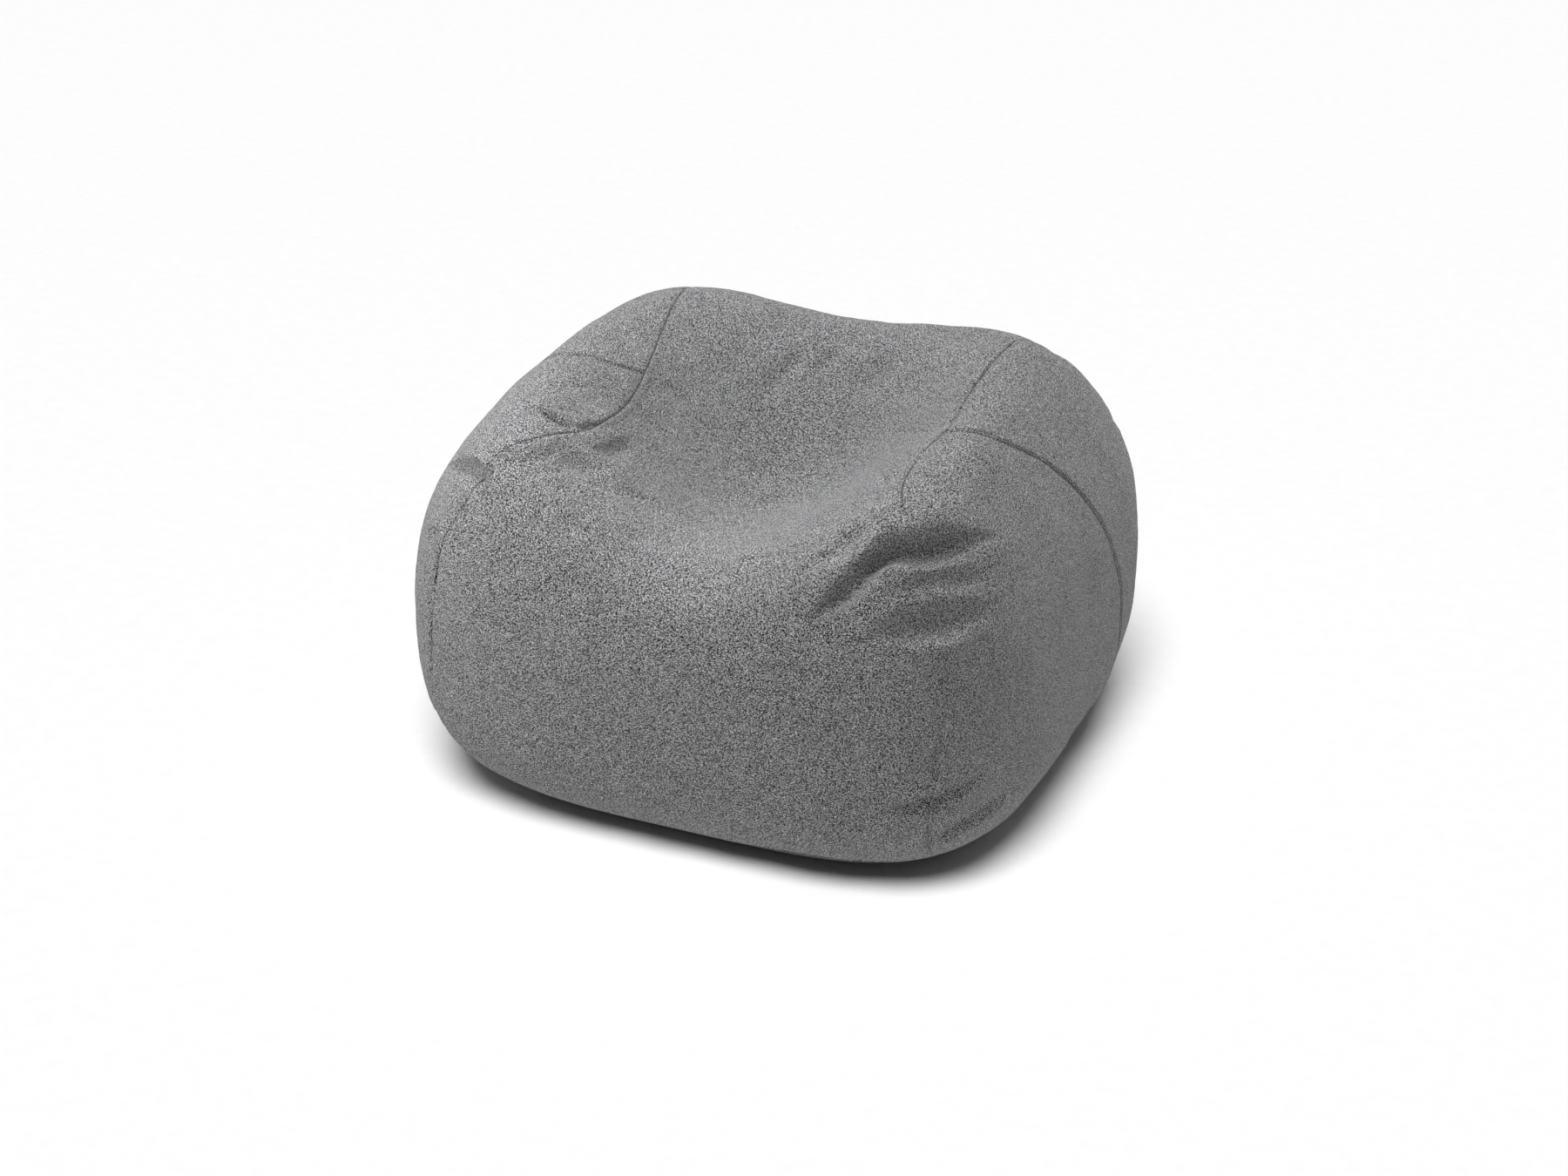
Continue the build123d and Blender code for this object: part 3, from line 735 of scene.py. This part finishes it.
class Maker:
    """A material's nodes, added one by one and linked to the shader that is already there."""

    def __init__(self, name, roughness, metallic=0.0):
        self.material = bpy.data.materials.new(name)
        self.material.use_nodes = True
        self.tree = self.material.node_tree
        self.shader = self.tree.nodes["Principled BSDF"]
        self.shader.inputs["Roughness"].default_value = roughness
        self.shader.inputs["Metallic"].default_value = metallic
        self.place = self.add("ShaderNodeTexCoord").outputs["Object"]

    def add(self, kind, links=(), **values):
        """A node with links into its sockets, and values for its sockets or its settings."""
        node = self.tree.nodes.new(kind)
        for key, value in values.items():
            if key in node.inputs:
                node.inputs[key].default_value = value
            else:
                setattr(node, key, value)
        for socket, source in dict(links).items():
            self.tree.links.new(source, node.inputs[socket])
        return node

    def link(self, source, socket):
        """A link into one of the shader's sockets."""
        self.tree.links.new(source, self.shader.inputs[socket])

    def ramp(self, source, *stops):
        """A colour between two stops, each a value and its colour."""
        node = self.add("ShaderNodeValToRGB", {"Fac": source})
        for element, (at, colour) in zip(node.color_ramp.elements, stops):
            element.position = at
            element.color = (*colour, 1)
        return node.outputs["Color"]


def nubby_cloth(name, dark, light, grain):
    """Upholstery cloth of short raised worms: noise drawn out along a slant, cut to light pile and dark gaps, partly
    the cloth's own heather tone and partly painted highlight on the pile and painted shade in its gaps.
    """
    wear_share = 0.02
    make = Maker(name, 0.95)
    slant = make.add("ShaderNodeMapping", {"Vector": make.place}, Rotation=(0.5, 0.45, 0.35), Scale=(0.5, 0.9, 1))
    pile = make.add("ShaderNodeTexNoise", {"Vector": slant.outputs[0]}, Scale=grain, Detail=0.0)
    wear = make.add("ShaderNodeTexNoise", {"Vector": make.place}, Scale=14.0, Detail=2.0, Roughness=0.5)
    tone = make.add("ShaderNodeMath", {0: wear.outputs["Fac"], 2: pile.outputs["Fac"]}, operation="MULTIPLY_ADD")
    tone.inputs[1].default_value = wear_share
    # Painted highlight and shade: the near-black gaps and bright pile stand partly for light and shade on the nubs,
    # partly for the cloth's heather tone.
    make.link(make.ramp(tone.outputs[0], (0.505, dark), (0.6, light)), "Base Color")
    bump = make.add("ShaderNodeBump", {"Height": pile.outputs["Fac"]}, Strength=1.0, Distance=0.004)
    make.link(bump.outputs["Normal"], "Normal")
    make.shader.inputs["Sheen Weight"].default_value = 0.1
    make.shader.inputs["Sheen Roughness"].default_value = 0.5
    make.shader.inputs["Specular IOR Level"].default_value = 0.15
    return make.material


def plain_weave(name, dark, light, threads):
    """Plain woven cloth: crossed bands for warp and weft, with uneven threads."""
    make = Maker(name, 0.88)
    warp = make.add("ShaderNodeTexWave", {"Vector": make.place}, Scale=threads, Distortion=1.2, bands_direction="X")
    weft = make.add("ShaderNodeTexWave", {"Vector": make.place}, Scale=threads, Distortion=1.2, bands_direction="Y")
    cross = make.add("ShaderNodeMath", {0: warp.outputs["Fac"], 1: weft.outputs["Fac"]}, operation="MULTIPLY")
    uneven = make.add("ShaderNodeTexNoise", {"Vector": make.place}, Scale=140.0, Detail=3.0)
    tone = make.add("ShaderNodeMath", {0: cross.outputs[0], 1: uneven.outputs["Fac"]}, operation="ADD")
    make.link(make.ramp(tone.outputs[0], (0.3, dark), (1.0, light)), "Base Color")
    bump = make.add("ShaderNodeBump", {"Height": cross.outputs[0]}, Strength=0.5, Distance=0.0004)
    make.link(bump.outputs["Normal"], "Normal")
    return make.material


def bead_heap(name):
    """White beads: round cells, light in the middle and dark between, the darkening being painted shade on each bead
    and in the gaps between beads.
    """
    make = Maker(name, 0.7)
    cells = make.add("ShaderNodeTexVoronoi", {"Vector": make.place}, Scale=260.0)
    # Painted shade: the cells' colour darkens from their middles out to the gaps between the beads.
    make.link(make.ramp(cells.outputs["Distance"], (0.0, (0.86, 0.86, 0.84)), (0.9, (0.5, 0.5, 0.49))), "Base Color")
    bump = make.add("ShaderNodeBump", {"Height": cells.outputs["Distance"]}, Strength=0.9, Distance=-0.002)
    make.link(bump.outputs["Normal"], "Normal")
    return make.material


def brushed(name, dark, light, metallic, roughness):
    """Plated metal or moulded plastic: fine scratches and a worn tone."""
    make = Maker(name, roughness, metallic=metallic)
    scratch = make.add("ShaderNodeTexNoise", {"Vector": make.place}, Scale=900.0, Detail=4.0, Roughness=0.7)
    make.link(make.ramp(scratch.outputs["Fac"], (0.3, dark), (0.7, light)), "Base Color")
    bump = make.add("ShaderNodeBump", {"Height": scratch.outputs["Fac"]}, Strength=0.15, Distance=0.0002)
    make.link(bump.outputs["Normal"], "Normal")
    return make.material


def dress_zips():
    """Finishes for the zip pieces, which keep their solids."""
    tape = plain_weave("zip_tape_weave", (0.05, 0.05, 0.055), (0.16, 0.16, 0.17), 900.0)
    teeth = brushed("zip_teeth_plastic", (0.035, 0.035, 0.038), (0.07, 0.07, 0.074), 0.0, 0.38)
    metal = brushed("zip_metal_plate", (0.42, 0.42, 0.43), (0.62, 0.62, 0.63), 1.0, 0.3)
    for name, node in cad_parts.items():
        if "zip" in name:
            finish = tape if "tape" in name else teeth if "teeth" in name else metal
            node.data.materials.clear()
            node.data.materials.append(finish)


def floor_sheet():
    """Pale floor, wide enough to fill the picture."""
    make = Maker("floor_paper", 0.9)
    grain = make.add("ShaderNodeTexNoise", {"Vector": make.place}, Scale=40.0, Detail=3.0)
    make.link(make.ramp(grain.outputs["Fac"], (0.3, (0.9, 0.9, 0.9)), (0.7, (0.92, 0.92, 0.92))), "Base Color")
    corners = [(floor_half * x, floor_half * y, 0) for x, y in ((-1, -1), (1, -1), (1, 1), (-1, 1))]
    mesh = bpy.data.meshes.new("floor")
    mesh.from_pydata(corners, [], [(0, 1, 2, 3)])
    mesh.materials.append(make.material)
    floor = bpy.data.objects.new("floor", mesh)
    bpy.context.scene.collection.objects.link(floor)
    return floor


def studio_light(floor):
    """An even sky, lamps behind, at both sides, above and in front for the bag, and one lamp for the floor."""
    world = bpy.data.worlds.new("studio")
    world.use_nodes = True
    sky = world.node_tree.nodes["Background"]
    sky.inputs["Color"].default_value = (1, 1, 1, 1)
    sky.inputs["Strength"].default_value = sky_strength
    bpy.context.scene.world = world

    for name, kind, strength, spread, side, lit in LAMPS:
        lamp = bpy.data.lights.new(name, kind)
        lamp.energy = strength
        setattr(lamp, "angle" if kind == "SUN" else "size", spread)
        light = bpy.data.objects.new(name, lamp)
        light.location = Vector(lamp_aim) + Vector(side) * lamp_distance
        light.rotation_euler = (-Vector(side)).to_track_quat("-Z", "Y").to_euler()
        light.visible_camera = False
        bpy.context.scene.collection.objects.link(light)
        lights = bpy.data.collections.new(name + "_lights")
        lights.objects.link(floor)
        lights.collection_objects[0].light_linking.link_state = "INCLUDE" if lit == "floor" else "EXCLUDE"
        light.light_linking.receiver_collection = lights


def photo_camera():
    """Camera at the photo's angle, height and distance."""
    level = math.cos(camera_lift)
    away = Vector((math.sin(camera_turn) * level, -math.cos(camera_turn) * level, math.sin(camera_lift)))
    lens = bpy.data.cameras.new("photo")
    lens.sensor_fit = "HORIZONTAL"
    lens.sensor_width = sensor_width
    lens.lens = focal_pixels / picture_width * sensor_width
    lens.clip_end = camera_range
    camera = bpy.data.objects.new("photo", lens)
    camera.location = Vector(camera_aim) + away * camera_distance
    camera.rotation_euler = (-away).to_track_quat("-Z", "Y").to_euler()
    bpy.context.scene.collection.objects.link(camera)
    bpy.context.scene.camera = camera
    bpy.context.scene.view_settings.view_transform = "Standard"


nub_scale = 1240.0
grey = nubby_cloth("cover_nubby_grey", (0.016, 0.0162, 0.0167), (0.672, 0.676, 0.6855), nub_scale)
# The base's cloth is the cover's nubby cloth in a darker grey: painted shade for the shade that falls on the base under
# the bag.
base_grey_painted_shade = nubby_cloth("base_nubby_grey_painted_shade", (0.02, 0.0203, 0.021), (0.27, 0.273, 0.278), nub_scale)
lining = plain_weave("liner_plain_white", (0.55, 0.54, 0.52), (0.75, 0.74, 0.72), 700.0)
thread = plain_weave("seam_thread_grey", (0.10, 0.10, 0.105), (0.22, 0.22, 0.225), 1500.0)
middle_panels(grey)
for name, side in (("left", -1), ("right", 1)):
    seam = side_panels(name, side, grey)
    stitches(name + "_side_stitches", seam, thread)
base_piece(base_grey_painted_shade)
inner_bag(lining, bead_heap("white_beads_painted_shade"))
liner_bases(lining)
dress_zips()
studio_light(floor_sheet())
photo_camera()
